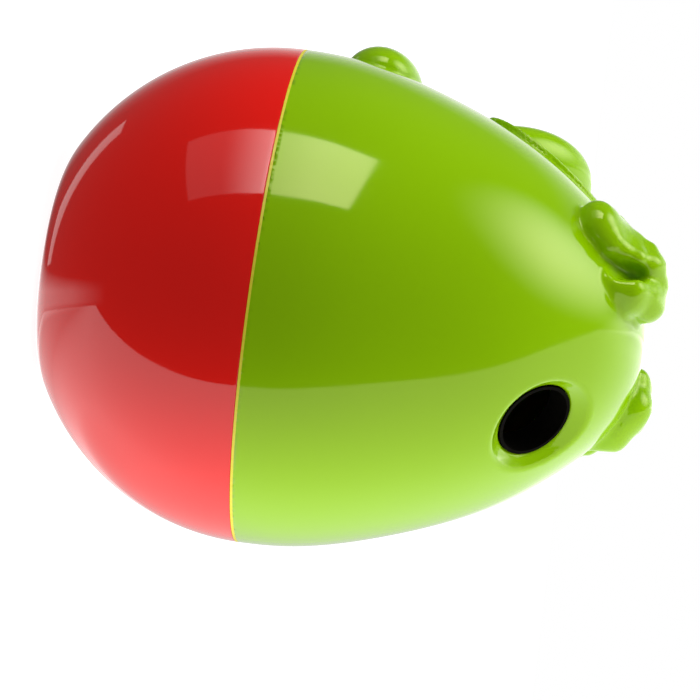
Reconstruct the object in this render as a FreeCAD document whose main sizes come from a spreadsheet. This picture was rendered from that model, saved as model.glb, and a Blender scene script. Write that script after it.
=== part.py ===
import FreeCAD, Part
import os

import Sketcher

# Weighted egg-shaped treat toy that unscrews at its widest point.
# The egg stands on its flat foot with its axis on Z. The figure on the upper
# shell looks along -Y and the treat port opens at the back, towards +Y.
# All lengths are in millimetres and all angles in degrees.

os.makedirs("parts", exist_ok=True)
doc = FreeCAD.newDocument("treat_toy")
TOUCH = 1e-4

SIZES = {
    # outside of the egg
    "seam_radius": 57.5,
    "foot_radius": 16.0,
    "side_angle": 60.0,
    "shoulder_angle": 44.5,
    "base_height": 52.0,
    "upper_height": 86.4,
    "base_wall": 3.0,
    "upper_wall": 3.0,
    # seam ring and its groove
    "ring_thickness": 0.6,
    "tongue_inset": 2.2,
    "tongue_width": 1.2,
    "tongue_height": 1.5,
    "tongue_clearance": 0.3,
    # screw closure
    "spigot_inset": 7.5,
    "spigot_wall": 2.5,
    "spigot_height": 12.0,
    "flange_thickness": 3.4,
    "seat_width": 1.5,
    "seat_clearance": 0.1,
    "thread_lead": 5.0,
    "thread_depth": 1.5,
    "thread_root": 1.9,
    "thread_crest": 1.1,
    "thread_clearance": 0.4,
    "thread_overlap": 0.5,
    "thread_start": 3.0,
    "spigot_turns": 1.25,
    "bore_turns": 0.75,
    "bore_height": 13.5,
    "bore_taper": 1.6,
    # ballast, its cover and the screws
    "ballast_radius": 28.0,
    "ballast_foot": 14.0,
    "ballast_flare": 6.0,
    "ballast_height": 10.0,
    "boss_circle": 34.0,
    "boss_radius": 3.8,
    "cover_height": 17.0,
    "cover_thickness": 3.0,
    "cover_clearance": 0.4,
    "post_radius": 9.0,
    "post_wall": 2.0,
    "screw_count": 4,
    "pilot_radius": 1.5,
    "pilot_depth": 8.0,
    "shank_clearance": 0.05,
    "shank_length": 8.2,
    "point_radius": 0.5,
    "hole_clearance": 0.3,
    "head_radius": 2.9,
    "head_height": 1.5,
    "recess_width": 0.8,
    "recess_length": 3.2,
    "recess_depth": 0.9,
    # treat port at the back
    "port_slope": 38.5,
    "port_radius": 9.4,
    "dish_radius": 12.2,
    "dish_sphere": 30.0,
    "port_boss_radius": 13.0,
    "port_boss_depth": 6.5,
    "liner_wall": 0.8,
    "liner_clearance": 0.1,
    "liner_sink": 3.6,
    "liner_length": 7.1,
    "liner_flange_radius": 12.0,
    "liner_flange_thickness": 1.5,
    # figure: muzzle, face plate, nose, eyes, ears and paws
    "muzzle_slope": 23.9,
    "muzzle_lean": -65.0,
    "muzzle_width": 20.0,
    "muzzle_long": 26.2,
    "muzzle_reach": 10.6,
    "plate_centre": 53.9,
    "plate_width": 38.0,
    "plate_tall": 25.6,
    "plate_height": 1.6,
    "nose_width": 7.0,
    "nose_reach": 3.6,
    "nose_tall": 4.6,
    "nose_forward": 13.7,
    "nose_rise": 16.4,
    "eye_slope": 43.5,
    "eye_azimuth": 26.0,
    "eye_radius": 4.2,
    "eye_reach": 3.2,
    "paw_slope": 8.7,
    "paw_azimuth": 29.3,
    "paw_long": 9.8,
    "paw_width": 15.1,
    "paw_reach": 8.0,
    # ears: half axes of each form, and its place towards the crown, off the face and outward
    "ear_slope": 52.8,
    "ear_azimuth": 88.0,
    "ear_long": 15.0,
    "ear_wide": 9.5,
    "ear_deep": 7.0,
    "ear_crown": 0.5,
    "ear_aside": 0.0,
    "ear_out": -1.2,
    "ear_turn": 0.0,
    "tip_long": 6.0,
    "tip_wide": 5.8,
    "tip_deep": 4.4,
    "tip_crown": -9.4,
    "tip_aside": -1.6,
    "tip_out": 0.6,
    "tip_turn": 0.0,
    "rim_long": 12.5,
    "rim_wide": 4.6,
    "rim_deep": 5.0,
    "rim_crown": 0.8,
    "rim_aside": -2.6,
    "rim_out": 2.6,
    "rim_turn": -8.0,
    "lobe_long": 6.6,
    "lobe_wide": 8.0,
    "lobe_deep": 5.4,
    "lobe_crown": 8.4,
    "lobe_aside": 3.4,
    "lobe_out": 0.2,
    "lobe_turn": 25.0,
    "hollow_long": 6.4,
    "hollow_wide": 2.7,
    "hollow_deep": 3.0,
    "hollow_crown": 0.4,
    "hollow_aside": 5.4,
    "hollow_out": 3.8,
    "hollow_turn": 40.0,
}

sizes = doc.addObject("Spreadsheet::Sheet", "sizes")
for row, (alias, size) in enumerate(SIZES.items(), start=1):
    sizes.set(f"A{row}", alias)
    sizes.set(f"B{row}", str(size))
    sizes.setAlias(f"B{row}", alias)
doc.recompute()

outline = doc.addObject("App::VarSet", "outline")


def derive(name, formula):
    """Adds a length that follows from the sheet."""
    outline.addProperty("App::PropertyFloat", name, "Derived")
    outline.setExpression(name, formula)


def value(formula):
    return float(sizes.evalExpression(formula))


def arc_gap(run, rise, angle):
    """How far apart the centres of two tangent arcs lie that turn a run into a rise."""
    return f"(({rise}) - ({run})) / (sin({angle}) + cos({angle}) - 1)"


# The base is a foot, a corner arc and a side arc that end upright at the seam.
corner_run = "(sizes.seam_radius - sizes.foot_radius)"
side_gap = arc_gap(corner_run, "sizes.base_height", "sizes.side_angle")
derive("corner_radius", f"{corner_run} - {side_gap} * (1 - cos(sizes.side_angle))")
derive("side_radius", f"{corner_run} + {side_gap} * cos(sizes.side_angle)")
# The upper shell is a shoulder arc and a nose arc that is centred on the axis.
nose_gap = arc_gap("sizes.seam_radius", "sizes.upper_height", "sizes.shoulder_angle")
derive("nose_radius", f"sizes.seam_radius - {nose_gap} * (1 - cos(sizes.shoulder_angle))")
derive("shoulder_radius", f"sizes.seam_radius + {nose_gap} * cos(sizes.shoulder_angle)")
derive("rim_height", "sizes.base_height + sizes.ring_thickness")
derive("top_height", "sizes.base_height + sizes.ring_thickness + sizes.upper_height")
# Diameters of the closure, each from the one inside it.
derive("spigot_radius", "sizes.seam_radius - sizes.spigot_inset")
derive("bore_radius", "outline.spigot_radius + sizes.thread_depth + sizes.thread_clearance")
derive("tongue_radius", "outline.bore_radius + sizes.tongue_inset")
derive("seat_radius", "sizes.seam_radius - sizes.base_wall + sizes.seat_width")
derive("seat_height", "sizes.base_height - sizes.flange_thickness")
derive("cover_top", "sizes.cover_height + sizes.cover_thickness")
derive("ballast_top", "sizes.base_wall + sizes.ballast_height")
derive("liner_radius", "sizes.port_radius - sizes.liner_clearance")
doc.recompute()


def inside_base(height):
    """Formula of the bowl's inner radius at a height on its side arc."""
    drop = f"sizes.base_height - ({height})"
    return (
        "sizes.seam_radius - outline.side_radius"
        f" + sqrt(pow(outline.side_radius - sizes.base_wall; 2) - pow({drop}; 2))"
    )


def inside_upper(rise):
    """Formula of the upper shell's inner radius at a rise above its rim."""
    return (
        "sizes.seam_radius - outline.shoulder_radius"
        f" + sqrt(pow(outline.shoulder_radius - sizes.upper_wall; 2) - pow({rise}; 2))"
    )


def new_body(name):
    return doc.addObject("PartDesign::Body", name)


def origin_feature(body, role):
    return next(item for item in body.Origin.OriginFeatures if item.Role == role)


def new_sketch(body, name, role="XZ_Plane", offset=None):
    """A sketch on one of the body's own origin planes, moved along its normal by a formula."""
    sketch = body.newObject("Sketcher::SketchObject", name)
    sketch.AttachmentSupport = [(origin_feature(body, role), "")]
    sketch.MapMode = "FlatFace"
    if offset:
        sketch.setExpression("AttachmentOffset.Base.z", offset)
    return sketch


def draw_outline(sketch, corners, bends=None):
    """A closed outline through corners given as pairs of formulas.

    bends gives a run, by the number of its first corner, an arc: its centre as a
    pair of formulas. Both ends of the arc are corners, so the centre fixes it.
    """
    bends = bends or {}
    places = [FreeCAD.Vector(value(across), value(up), 0) for across, up in corners]
    count = len(places)
    runs = []
    for first in range(count):
        start = places[first]
        end = places[(first + 1) % count]
        if first in bends:
            middle = FreeCAD.Vector(value(bends[first][0]), value(bends[first][1]), 0)
            radius = (start - middle).Length
            halfway = middle + ((start + end) * 0.5 - middle).normalize() * radius
            arc = Part.Arc(start, halfway, end)
            index = sketch.addGeometry(arc, False)
            swapped = (sketch.getPoint(index, 1) - start).Length > TOUCH
            runs.append((index, 2 if swapped else 1, 1 if swapped else 2))
        else:
            index = sketch.addGeometry(Part.LineSegment(start, end), False)
            runs.append((index, 1, 2))
    for first in range(count):
        index, _, tail = runs[first]
        following, head, _ = runs[(first + 1) % count]
        sketch.addConstraint(Sketcher.Constraint("Coincident", index, tail, following, head))
    for first, (across, up) in enumerate(corners):
        index, head, _ = runs[first]
        pin_point(sketch, index, head, across, up)
    for first, (across, up) in bends.items():
        pin_radius(sketch, runs[first][0], corners[first], (across, up))


def pin_point(sketch, index, point, across, up):
    """Ties a point of a sketch to two formulas."""
    place = sketch.getPoint(index, point)
    for kind, formula, now in (("DistanceX", across, place.x), ("DistanceY", up, place.y)):
        if formula == "0":
            line = -2 if kind == "DistanceX" else -1
            sketch.addConstraint(Sketcher.Constraint("PointOnObject", index, point, line))
            continue
        number = sketch.addConstraint(Sketcher.Constraint(kind, -1, 1, index, point, now))
        sketch.setExpression(f"Constraints[{number}]", formula)


def pin_radius(sketch, index, corner, centre):
    """Ties an arc's radius to the distance from its centre to its first corner."""
    radius = f"sqrt(pow({corner[0]} - ({centre[0]}); 2) + pow({corner[1]} - ({centre[1]}); 2))"
    number = sketch.addConstraint(Sketcher.Constraint("Radius", index, value(radius)))
    sketch.setExpression(f"Constraints[{number}]", radius)


def draw_circle(sketch, across, up, radius):
    """A circle with its centre and radius tied to formulas."""
    middle = FreeCAD.Vector(value(across), value(up), 0)
    index = sketch.addGeometry(Part.Circle(middle, FreeCAD.Vector(0, 0, 1), value(radius)), False)
    pin_point(sketch, index, 3, across, up)
    number = sketch.addConstraint(Sketcher.Constraint("Radius", index, value(radius)))
    sketch.setExpression(f"Constraints[{number}]", radius)


def revolve(body, sketch, name):
    """Turns a sketch on the XZ plane once round the upright axis."""
    turned = body.newObject("PartDesign::Revolution", name)
    turned.Profile = sketch
    turned.ReferenceAxis = (sketch, ["V_Axis"])
    turned.Angle = 360
    doc.recompute()
    return turned


def pad(body, sketch, name, length, down=False):
    raised = body.newObject("PartDesign::Pad", name)
    raised.Profile = sketch
    raised.setExpression("Length", length)
    raised.Reversed = down
    doc.recompute()
    return raised


def pocket(body, sketch, name, length, up=False):
    before = body.Shape.Volume
    sunk = body.newObject("PartDesign::Pocket", name)
    sunk.Profile = sketch
    sunk.setExpression("Length", length)
    sunk.Reversed = up
    doc.recompute()
    if body.Shape.Volume > before - TOUCH:
        raise RuntimeError(f"{name} cut nothing")
    return sunk


def ring_of(body, features, name):
    """Repeats features evenly round the upright axis, once for each screw."""
    pattern = body.newObject("PartDesign::PolarPattern", name)
    pattern.Originals = features
    pattern.Axis = (origin_feature(body, "Z_Axis"), [""])
    pattern.Angle = 360
    pattern.setExpression("Occurrences", "sizes.screw_count")
    body.Tip = pattern
    doc.recompute()
    return pattern


def thread_rib(body, name, kind, wall, crest, start, turns):
    """A trapezoid rib, or a groove of that shape, on a right-hand helix round Z."""
    sketch = new_sketch(body, f"{name}_outline")
    draw_outline(
        sketch,
        [
            (wall, f"{start} - sizes.thread_root / 2"),
            (crest, f"{start} - sizes.thread_crest / 2"),
            (crest, f"{start} + sizes.thread_crest / 2"),
            (wall, f"{start} + sizes.thread_root / 2"),
        ],
    )
    doc.recompute()
    helix = body.newObject(kind, name)
    helix.Profile = sketch
    helix.ReferenceAxis = (sketch, ["V_Axis"])
    helix.Mode = "pitch-turns-angle"
    helix.setExpression("Pitch", "sizes.thread_lead")
    helix.setExpression("Turns", turns)
    helix.Angle = 0
    helix.LeftHanded = False
    helix.Reversed = False
    doc.recompute()
    return helix


def surface_point(slope, azimuth):
    """Formula of the point on the upper shell where its outward normal has that direction.

    slope is the normal's angle above the horizon and azimuth is counted from +X.
    """
    reach = (
        f"(({slope}) < sizes.shoulder_angle"
        f" ? sizes.seam_radius - outline.shoulder_radius + outline.shoulder_radius * cos({slope})"
        f" : outline.nose_radius * cos({slope}))"
    )
    rise = (
        f"(({slope}) < sizes.shoulder_angle"
        f" ? outline.rim_height + outline.shoulder_radius * sin({slope})"
        f" : outline.top_height - outline.nose_radius + outline.nose_radius * sin({slope}))"
    )
    return f"vector({reach} * cos({azimuth}); {reach} * sin({azimuth}); {rise})"


def surface_frame(slope, azimuth):
    """Formula of a placement there: X towards the foot, Y round the axis and Z outward."""
    spot = f"placement({surface_point(slope, azimuth)}; rotationz({azimuth}))"
    return f"{spot} * placement(vector(0; 0; 0); rotationy(90 - ({slope})))"


def place_on_surface(item, slope, azimuth, lift="0"):
    """Stands an item on the upper shell, its own Z along the outward normal."""
    frame = surface_frame(slope, azimuth)
    item.setExpression("Placement", f"{frame} * placement(vector(0; 0; {lift}); rotationz(0))")


def ellipsoid(body, name, kind, across, along, up):
    """A full ellipsoid with formulas for its three half axes, X, Y and Z."""
    lump = body.newObject(kind, name)
    lump.Angle1 = -90
    lump.Angle2 = 90
    lump.Angle3 = 360
    lump.setExpression("Radius1", up)
    lump.setExpression("Radius2", across)
    lump.setExpression("Radius3", along)
    return lump


def cut(name, base, tool):
    result = doc.addObject("Part::Cut", name)
    result.Base = base
    result.Tool = tool
    doc.recompute()
    return result


ADD = "PartDesign::AdditiveEllipsoid"
TAKE = "PartDesign::SubtractiveEllipsoid"
EAR_FORMS = (("ear", ADD), ("tip", ADD), ("rim", ADD), ("lobe", ADD), ("hollow", TAKE))
ZERO = "0"
FACE = "-90"
PORT = "90"
SIDE_CENTRE = ("sizes.seam_radius - outline.side_radius", "sizes.base_height")
CORNER_CENTRE = ("sizes.foot_radius", "outline.corner_radius")
SHOULDER_CENTRE = ("sizes.seam_radius - outline.shoulder_radius", "outline.rim_height")
NOSE_CENTRE = (ZERO, "outline.top_height - outline.nose_radius")


def bowl_corner(inset):
    """Where the corner arc meets the side arc, at an inset from the outside."""
    radius = f"(outline.corner_radius - {inset})"
    return (
        f"sizes.foot_radius + {radius} * cos(sizes.side_angle)",
        f"outline.corner_radius - {radius} * sin(sizes.side_angle)",
    )


def dome_corner(inset):
    """Where the shoulder arc meets the nose arc, at an inset from the outside."""
    radius = f"(outline.nose_radius - {inset})"
    return (
        f"{radius} * cos(sizes.shoulder_angle)",
        f"outline.top_height - outline.nose_radius + {radius} * sin(sizes.shoulder_angle)",
    )


def make_base_shell():
    form = new_body("base_form")
    sketch = new_sketch(form, "base_outline")
    draw_outline(
        sketch,
        [
            (ZERO, ZERO),
            ("sizes.foot_radius", ZERO),
            bowl_corner("0"),
            ("sizes.seam_radius", "sizes.base_height"),
            (ZERO, "sizes.base_height"),
        ],
        {1: CORNER_CENTRE, 2: SIDE_CENTRE},
    )
    revolve(form, sketch, "base_solid")

    core = new_body("base_core")
    sketch = new_sketch(core, "bowl_outline")
    draw_outline(
        sketch,
        [
            (ZERO, "sizes.base_wall"),
            ("sizes.foot_radius", "sizes.base_wall"),
            bowl_corner("sizes.base_wall"),
            ("sizes.seam_radius - sizes.base_wall", "sizes.base_height"),
            (ZERO, "sizes.base_height"),
        ],
        {1: CORNER_CENTRE, 2: SIDE_CENTRE},
    )
    revolve(core, sketch, "bowl")
    sketch = new_sketch(core, "seat_outline", "XY_Plane", "outline.seat_height")
    draw_circle(sketch, ZERO, ZERO, "outline.seat_radius")
    pad(core, sketch, "collar_seat", "sizes.flange_thickness")
    sketch = new_sketch(core, "boss_outline", "XY_Plane")
    draw_circle(sketch, "sizes.boss_circle", ZERO, "sizes.boss_radius")
    boss = pocket(core, sketch, "screw_boss", "sizes.cover_height", up=True)
    ring_of(core, [boss], "screw_bosses")
    sketch = new_sketch(core, "pilot_outline", "XY_Plane", "sizes.cover_height")
    draw_circle(sketch, "sizes.boss_circle", ZERO, "sizes.pilot_radius")
    pilot = pad(core, sketch, "pilot_hole", "sizes.pilot_depth", down=True)
    ring_of(core, [pilot], "pilot_holes")
    return cut("base_shell", form, core)


def make_threaded_collar():
    body = new_body("threaded_collar")
    inner = "outline.spigot_radius - sizes.spigot_wall"
    outer = "outline.seat_radius - sizes.seat_clearance"
    top = "sizes.base_height + sizes.spigot_height"
    sketch = new_sketch(body, "collar_outline")
    draw_outline(
        sketch,
        [
            (inner, "outline.seat_height"),
            (outer, "outline.seat_height"),
            (outer, "sizes.base_height"),
            ("outline.spigot_radius", "sizes.base_height"),
            ("outline.spigot_radius", top),
            (inner, top),
        ],
    )
    revolve(body, sketch, "collar_ring")
    thread_rib(
        body,
        "spigot_thread",
        "PartDesign::AdditiveHelix",
        "outline.spigot_radius - sizes.thread_overlap",
        "outline.spigot_radius + sizes.thread_depth",
        "sizes.base_height + sizes.thread_start",
        "sizes.spigot_turns",
    )
    return body


def make_seam_ring():
    body = new_body("seam_ring")
    tongue_top = "outline.rim_height + sizes.tongue_height"
    tongue_outer = "outline.tongue_radius + sizes.tongue_width"
    sketch = new_sketch(body, "ring_outline")
    draw_outline(
        sketch,
        [
            ("outline.bore_radius", "sizes.base_height"),
            ("sizes.seam_radius", "sizes.base_height"),
            ("sizes.seam_radius", "outline.rim_height"),
            (tongue_outer, "outline.rim_height"),
            (tongue_outer, tongue_top),
            ("outline.tongue_radius", tongue_top),
            ("outline.tongue_radius", "outline.rim_height"),
            ("outline.bore_radius", "outline.rim_height"),
        ],
    )
    revolve(body, sketch, "ring")
    return body


def make_ballast_weight():
    body = new_body("ballast_weight")
    sketch = new_sketch(body, "ballast_outline")
    draw_outline(
        sketch,
        [
            (ZERO, "sizes.base_wall"),
            ("sizes.ballast_foot", "sizes.base_wall"),
            ("sizes.ballast_radius", "sizes.base_wall + sizes.ballast_flare"),
            ("sizes.ballast_radius", "outline.ballast_top"),
            (ZERO, "outline.ballast_top"),
        ],
    )
    revolve(body, sketch, "casting")
    return body


def make_ballast_cover():
    body = new_body("ballast_cover")
    lower_edge = inside_base("sizes.cover_height") + " - sizes.cover_clearance"
    upper_edge = inside_base("outline.cover_top") + " - sizes.cover_clearance"
    post_inner = "sizes.post_radius - sizes.post_wall"
    sketch = new_sketch(body, "cover_outline")
    draw_outline(
        sketch,
        [
            (ZERO, "sizes.cover_height"),
            (post_inner, "sizes.cover_height"),
            (post_inner, "outline.ballast_top"),
            ("sizes.post_radius", "outline.ballast_top"),
            ("sizes.post_radius", "sizes.cover_height"),
            (lower_edge, "sizes.cover_height"),
            (upper_edge, "outline.cover_top"),
            (ZERO, "outline.cover_top"),
        ],
    )
    revolve(body, sketch, "cover_disc")
    sketch = new_sketch(body, "shank_outline", "XY_Plane", "outline.cover_top")
    draw_circle(sketch, "sizes.boss_circle", ZERO, "sizes.pilot_radius + sizes.hole_clearance")
    shank_hole = pocket(body, sketch, "shank_hole", "sizes.cover_thickness")
    sketch = new_sketch(body, "head_outline", "XY_Plane", "outline.cover_top")
    draw_circle(sketch, "sizes.boss_circle", ZERO, "sizes.head_radius + sizes.hole_clearance")
    head_sink = pocket(body, sketch, "head_sink", "sizes.head_height")
    ring_of(body, [shank_hole, head_sink], "screw_holes")
    return body


def make_ballast_screws():
    """One screw with a cross recess, and its copies round the cover."""
    body = new_body("screw")
    shank = "sizes.pilot_radius - sizes.shank_clearance"
    head_seat = "outline.cover_top - sizes.head_height"
    sketch = new_sketch(body, "screw_outline")
    draw_outline(
        sketch,
        [
            (ZERO, f"{head_seat} - sizes.shank_length"),
            ("sizes.point_radius", f"{head_seat} - sizes.shank_length"),
            (shank, f"{head_seat} - sizes.shank_length + {shank}"),
            (shank, head_seat),
            ("sizes.head_radius", head_seat),
            ("sizes.head_radius", "outline.cover_top"),
            (ZERO, "outline.cover_top"),
        ],
    )
    revolve(body, sketch, "turned_screw")
    for name, half_x, half_y in (
        ("recess_across", "sizes.recess_length / 2", "sizes.recess_width / 2"),
        ("recess_along", "sizes.recess_width / 2", "sizes.recess_length / 2"),
    ):
        sketch = new_sketch(body, f"{name}_outline", "XY_Plane", "outline.cover_top")
        draw_outline(
            sketch,
            [
                (f"-{half_x}", f"-{half_y}"),
                (half_x, f"-{half_y}"),
                (half_x, half_y),
                (f"-{half_x}", half_y),
            ],
        )
        pocket(body, sketch, name, "sizes.recess_depth")
    copies = []
    count = int(value("sizes.screw_count"))
    for number in range(count):
        turn = FreeCAD.Rotation(FreeCAD.Vector(0, 0, 1), 360 * number / count)
        copy = body.Shape.copy()
        copy.Placement = FreeCAD.Placement(
            turn.multVec(FreeCAD.Vector(value("sizes.boss_circle"), 0, 0)), turn
        )
        copies.append(copy)
    screws = doc.addObject("Part::Feature", "ballast_screws")
    screws.Shape = Part.makeCompound(copies)
    return screws


def make_face_plate():
    """The raised oval behind the muzzle: a thicker skin cut to an oval prism."""
    skin = new_body("face_skin")
    sketch = new_sketch(skin, "skin_outline")
    outset = "-sizes.plate_height"
    draw_outline(
        sketch,
        [
            (ZERO, "outline.rim_height"),
            ("sizes.seam_radius + sizes.plate_height", "outline.rim_height"),
            dome_corner(f"({outset})"),
            (ZERO, "outline.top_height + sizes.plate_height"),
        ],
        {1: SHOULDER_CENTRE, 2: NOSE_CENTRE},
    )
    revolve(skin, sketch, "skin_solid")
    oval = new_body("face_oval")
    sketch = new_sketch(oval, "oval_outline")
    half_width = value("sizes.plate_width")
    half_height = value("sizes.plate_tall")
    centre = value("outline.rim_height + sizes.plate_centre")
    index = sketch.addGeometry(
        Part.Ellipse(FreeCAD.Vector(0, centre, 0), half_width, half_height), False
    )
    sketch.exposeInternalGeometry(index)
    pin_point(sketch, index, 3, ZERO, "outline.rim_height + sizes.plate_centre")
    for axis_line, length in ((index + 1, "sizes.plate_width"), (index + 2, "sizes.plate_tall")):
        now = value(length) * 2
        number = sketch.addConstraint(Sketcher.Constraint("Distance", axis_line, now))
        sketch.setExpression(f"Constraints[{number}]", f"{length} * 2")
    sketch.addConstraint(Sketcher.Constraint("Horizontal", index + 1))
    prism = pad(oval, sketch, "oval_prism", "sizes.seam_radius + sizes.plate_height")
    if oval.Shape.BoundBox.YMax > TOUCH:
        prism.Reversed = not prism.Reversed
        doc.recompute()
    plate = doc.addObject("Part::Common", "face_plate")
    plate.Base = skin
    plate.Tool = oval
    doc.recompute()
    return plate


def make_upper_form():
    """The solid outside of the upper shell with the figure's forms on it."""
    form = new_body("upper_form")
    sketch = new_sketch(form, "upper_outline")
    draw_outline(
        sketch,
        [
            (ZERO, "outline.rim_height"),
            ("sizes.seam_radius", "outline.rim_height"),
            dome_corner("0"),
            (ZERO, "outline.top_height"),
        ],
        {1: SHOULDER_CENTRE, 2: NOSE_CENTRE},
    )
    revolve(form, sketch, "upper_solid")

    muzzle = ellipsoid(
        form, "muzzle", ADD, "sizes.muzzle_width", "sizes.muzzle_long", "sizes.muzzle_reach"
    )
    muzzle_spot = surface_point("sizes.muzzle_slope", FACE)
    muzzle.setExpression("Placement", f"placement({muzzle_spot}; rotationx(sizes.muzzle_lean))")
    nose = ellipsoid(form, "nose", ADD, "sizes.nose_width", "sizes.nose_reach", "sizes.nose_tall")
    nose_spot = f"{muzzle_spot} + vector(0; -sizes.nose_forward; sizes.nose_rise)"
    nose.setExpression("Placement", f"placement({nose_spot}; rotationz(0))")

    for side, sign in (("left", "+"), ("right", "-")):
        eye = ellipsoid(
            form, f"{side}_eye", ADD, "sizes.eye_radius", "sizes.eye_radius", "sizes.eye_reach"
        )
        place_on_surface(
            eye, "sizes.eye_slope", f"{FACE} {sign} sizes.eye_azimuth", "sizes.plate_height"
        )
        paw = ellipsoid(
            form, f"{side}_paw", ADD, "sizes.paw_long", "sizes.paw_width", "sizes.paw_reach"
        )
        place_on_surface(paw, "sizes.paw_slope", f"{FACE} {sign} sizes.paw_azimuth")
        ear_frame = surface_frame("sizes.ear_slope", f"{FACE} {sign} sizes.ear_azimuth")
        for name, kind in EAR_FORMS:
            piece = ellipsoid(
                form,
                f"{side}_{name}_form",
                kind,
                f"sizes.{name}_long",
                f"sizes.{name}_wide",
                f"sizes.{name}_deep",
            )
            place = (
                f"vector(-sizes.{name}_crown; 0 {sign} sizes.{name}_aside; sizes.{name}_out)"
            )
            turn = f"rotationz(0 {sign} sizes.{name}_turn)"
            piece.setExpression("Placement", f"{ear_frame} * placement({place}; {turn})")

    dish = form.newObject("PartDesign::SubtractiveSphere", "port_dish")
    dish.setExpression("Radius", "sizes.dish_sphere")
    # The sphere's cap is as wide as the dish where it leaves the shoulder arc.
    dish_lift = (
        "sqrt(pow(sizes.dish_sphere; 2) - pow(sizes.dish_radius; 2))"
        " - outline.nose_radius + sqrt(pow(outline.nose_radius; 2) - pow(sizes.dish_radius; 2))"
    )
    place_on_surface(dish, "sizes.port_slope", PORT, dish_lift)
    doc.recompute()
    return form


def port_cylinder(body, name, kind, radius, outer_depth, inner_depth):
    """A cylinder on the port's axis between two depths below the shell's outside."""
    column = body.newObject(kind, name)
    column.setExpression("Radius", radius)
    column.setExpression("Height", f"({inner_depth}) - ({outer_depth})")
    place_on_surface(column, "sizes.port_slope", PORT, f"-({inner_depth})")
    doc.recompute()
    return column


def make_upper_core():
    """The inside of the upper shell: the treat chamber, bore, rim groove and port."""
    core = new_body("upper_core")
    below = "outline.rim_height - sizes.tongue_height"
    groove_inner = "outline.tongue_radius - sizes.tongue_clearance"
    groove_outer = "outline.tongue_radius + sizes.tongue_width + sizes.tongue_clearance"
    groove_top = "outline.rim_height + sizes.tongue_height + sizes.tongue_clearance"
    taper_top = "sizes.bore_height + sizes.bore_taper"
    sketch = new_sketch(core, "chamber_outline")
    draw_outline(
        sketch,
        [
            (ZERO, below),
            ("sizes.seam_radius", below),
            ("sizes.seam_radius", "outline.rim_height"),
            (groove_outer, "outline.rim_height"),
            (groove_outer, groove_top),
            (groove_inner, groove_top),
            (groove_inner, "outline.rim_height"),
            ("outline.bore_radius", "outline.rim_height"),
            ("outline.bore_radius", "outline.rim_height + sizes.bore_height"),
            (inside_upper(f"({taper_top})"), f"outline.rim_height + {taper_top}"),
            dome_corner("sizes.upper_wall"),
            (ZERO, "outline.top_height - sizes.upper_wall"),
        ],
        {9: SHOULDER_CENTRE, 10: NOSE_CENTRE},
    )
    revolve(core, sketch, "chamber")
    thread_rib(
        core,
        "bore_thread",
        "PartDesign::SubtractiveHelix",
        "outline.bore_radius + sizes.thread_overlap",
        "outline.bore_radius - sizes.thread_depth",
        "sizes.base_height + sizes.thread_start + sizes.thread_lead / 2",
        "sizes.bore_turns",
    )
    port_cylinder(
        core,
        "port_boss",
        "PartDesign::SubtractiveCylinder",
        "sizes.port_boss_radius",
        "0",
        "sizes.port_boss_depth",
    )
    port_cylinder(
        core,
        "port_bore",
        "PartDesign::AdditiveCylinder",
        "sizes.port_radius",
        "-sizes.port_radius",
        "sizes.port_boss_depth + sizes.upper_wall",
    )
    return core


def make_upper_shell():
    outside = doc.addObject("Part::Fuse", "upper_outside")
    outside.Base = make_upper_form()
    outside.Tool = make_face_plate()
    doc.recompute()
    return cut("upper_shell", outside, make_upper_core())


def make_port_liner():
    body = new_body("port_liner")
    inner = "outline.liner_radius - sizes.liner_wall"
    top = "-sizes.liner_sink"
    seat = "-sizes.port_boss_depth"
    flange = "-sizes.port_boss_depth - sizes.liner_flange_thickness"
    bottom = "-sizes.liner_sink - sizes.liner_length"
    sketch = new_sketch(body, "liner_outline")
    draw_outline(
        sketch,
        [
            (inner, bottom),
            ("outline.liner_radius", bottom),
            ("outline.liner_radius", flange),
            ("sizes.liner_flange_radius", flange),
            ("sizes.liner_flange_radius", seat),
            ("outline.liner_radius", seat),
            ("outline.liner_radius", top),
            (inner, top),
        ],
    )
    revolve(body, sketch, "liner")
    place_on_surface(body, "sizes.port_slope", PORT)
    doc.recompute()
    return body


sub_parts = [
    make_base_shell(),
    make_threaded_collar(),
    make_ballast_weight(),
    make_ballast_cover(),
    make_ballast_screws(),
    make_seam_ring(),
    make_upper_shell(),
    make_port_liner(),
]
doc.recompute()

for item in doc.Objects:
    faults = {"Invalid", "Error"} & set(item.State)
    if faults:
        raise RuntimeError(f"{item.Name} is {faults}")
for item in sub_parts:
    if item.Shape.isNull() or not item.Shape.isValid():
        raise RuntimeError(f"{item.Label} has no valid shape")
    print(item.Label, len(item.Shape.Solids), "solids", round(item.Shape.Volume / 1000, 2), "cm3")
    item.Shape.exportStep(f"parts/{item.Label}.step")
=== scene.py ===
import math

import bmesh
import bpy
import numpy as np
from mathutils import Matrix, Vector


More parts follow.
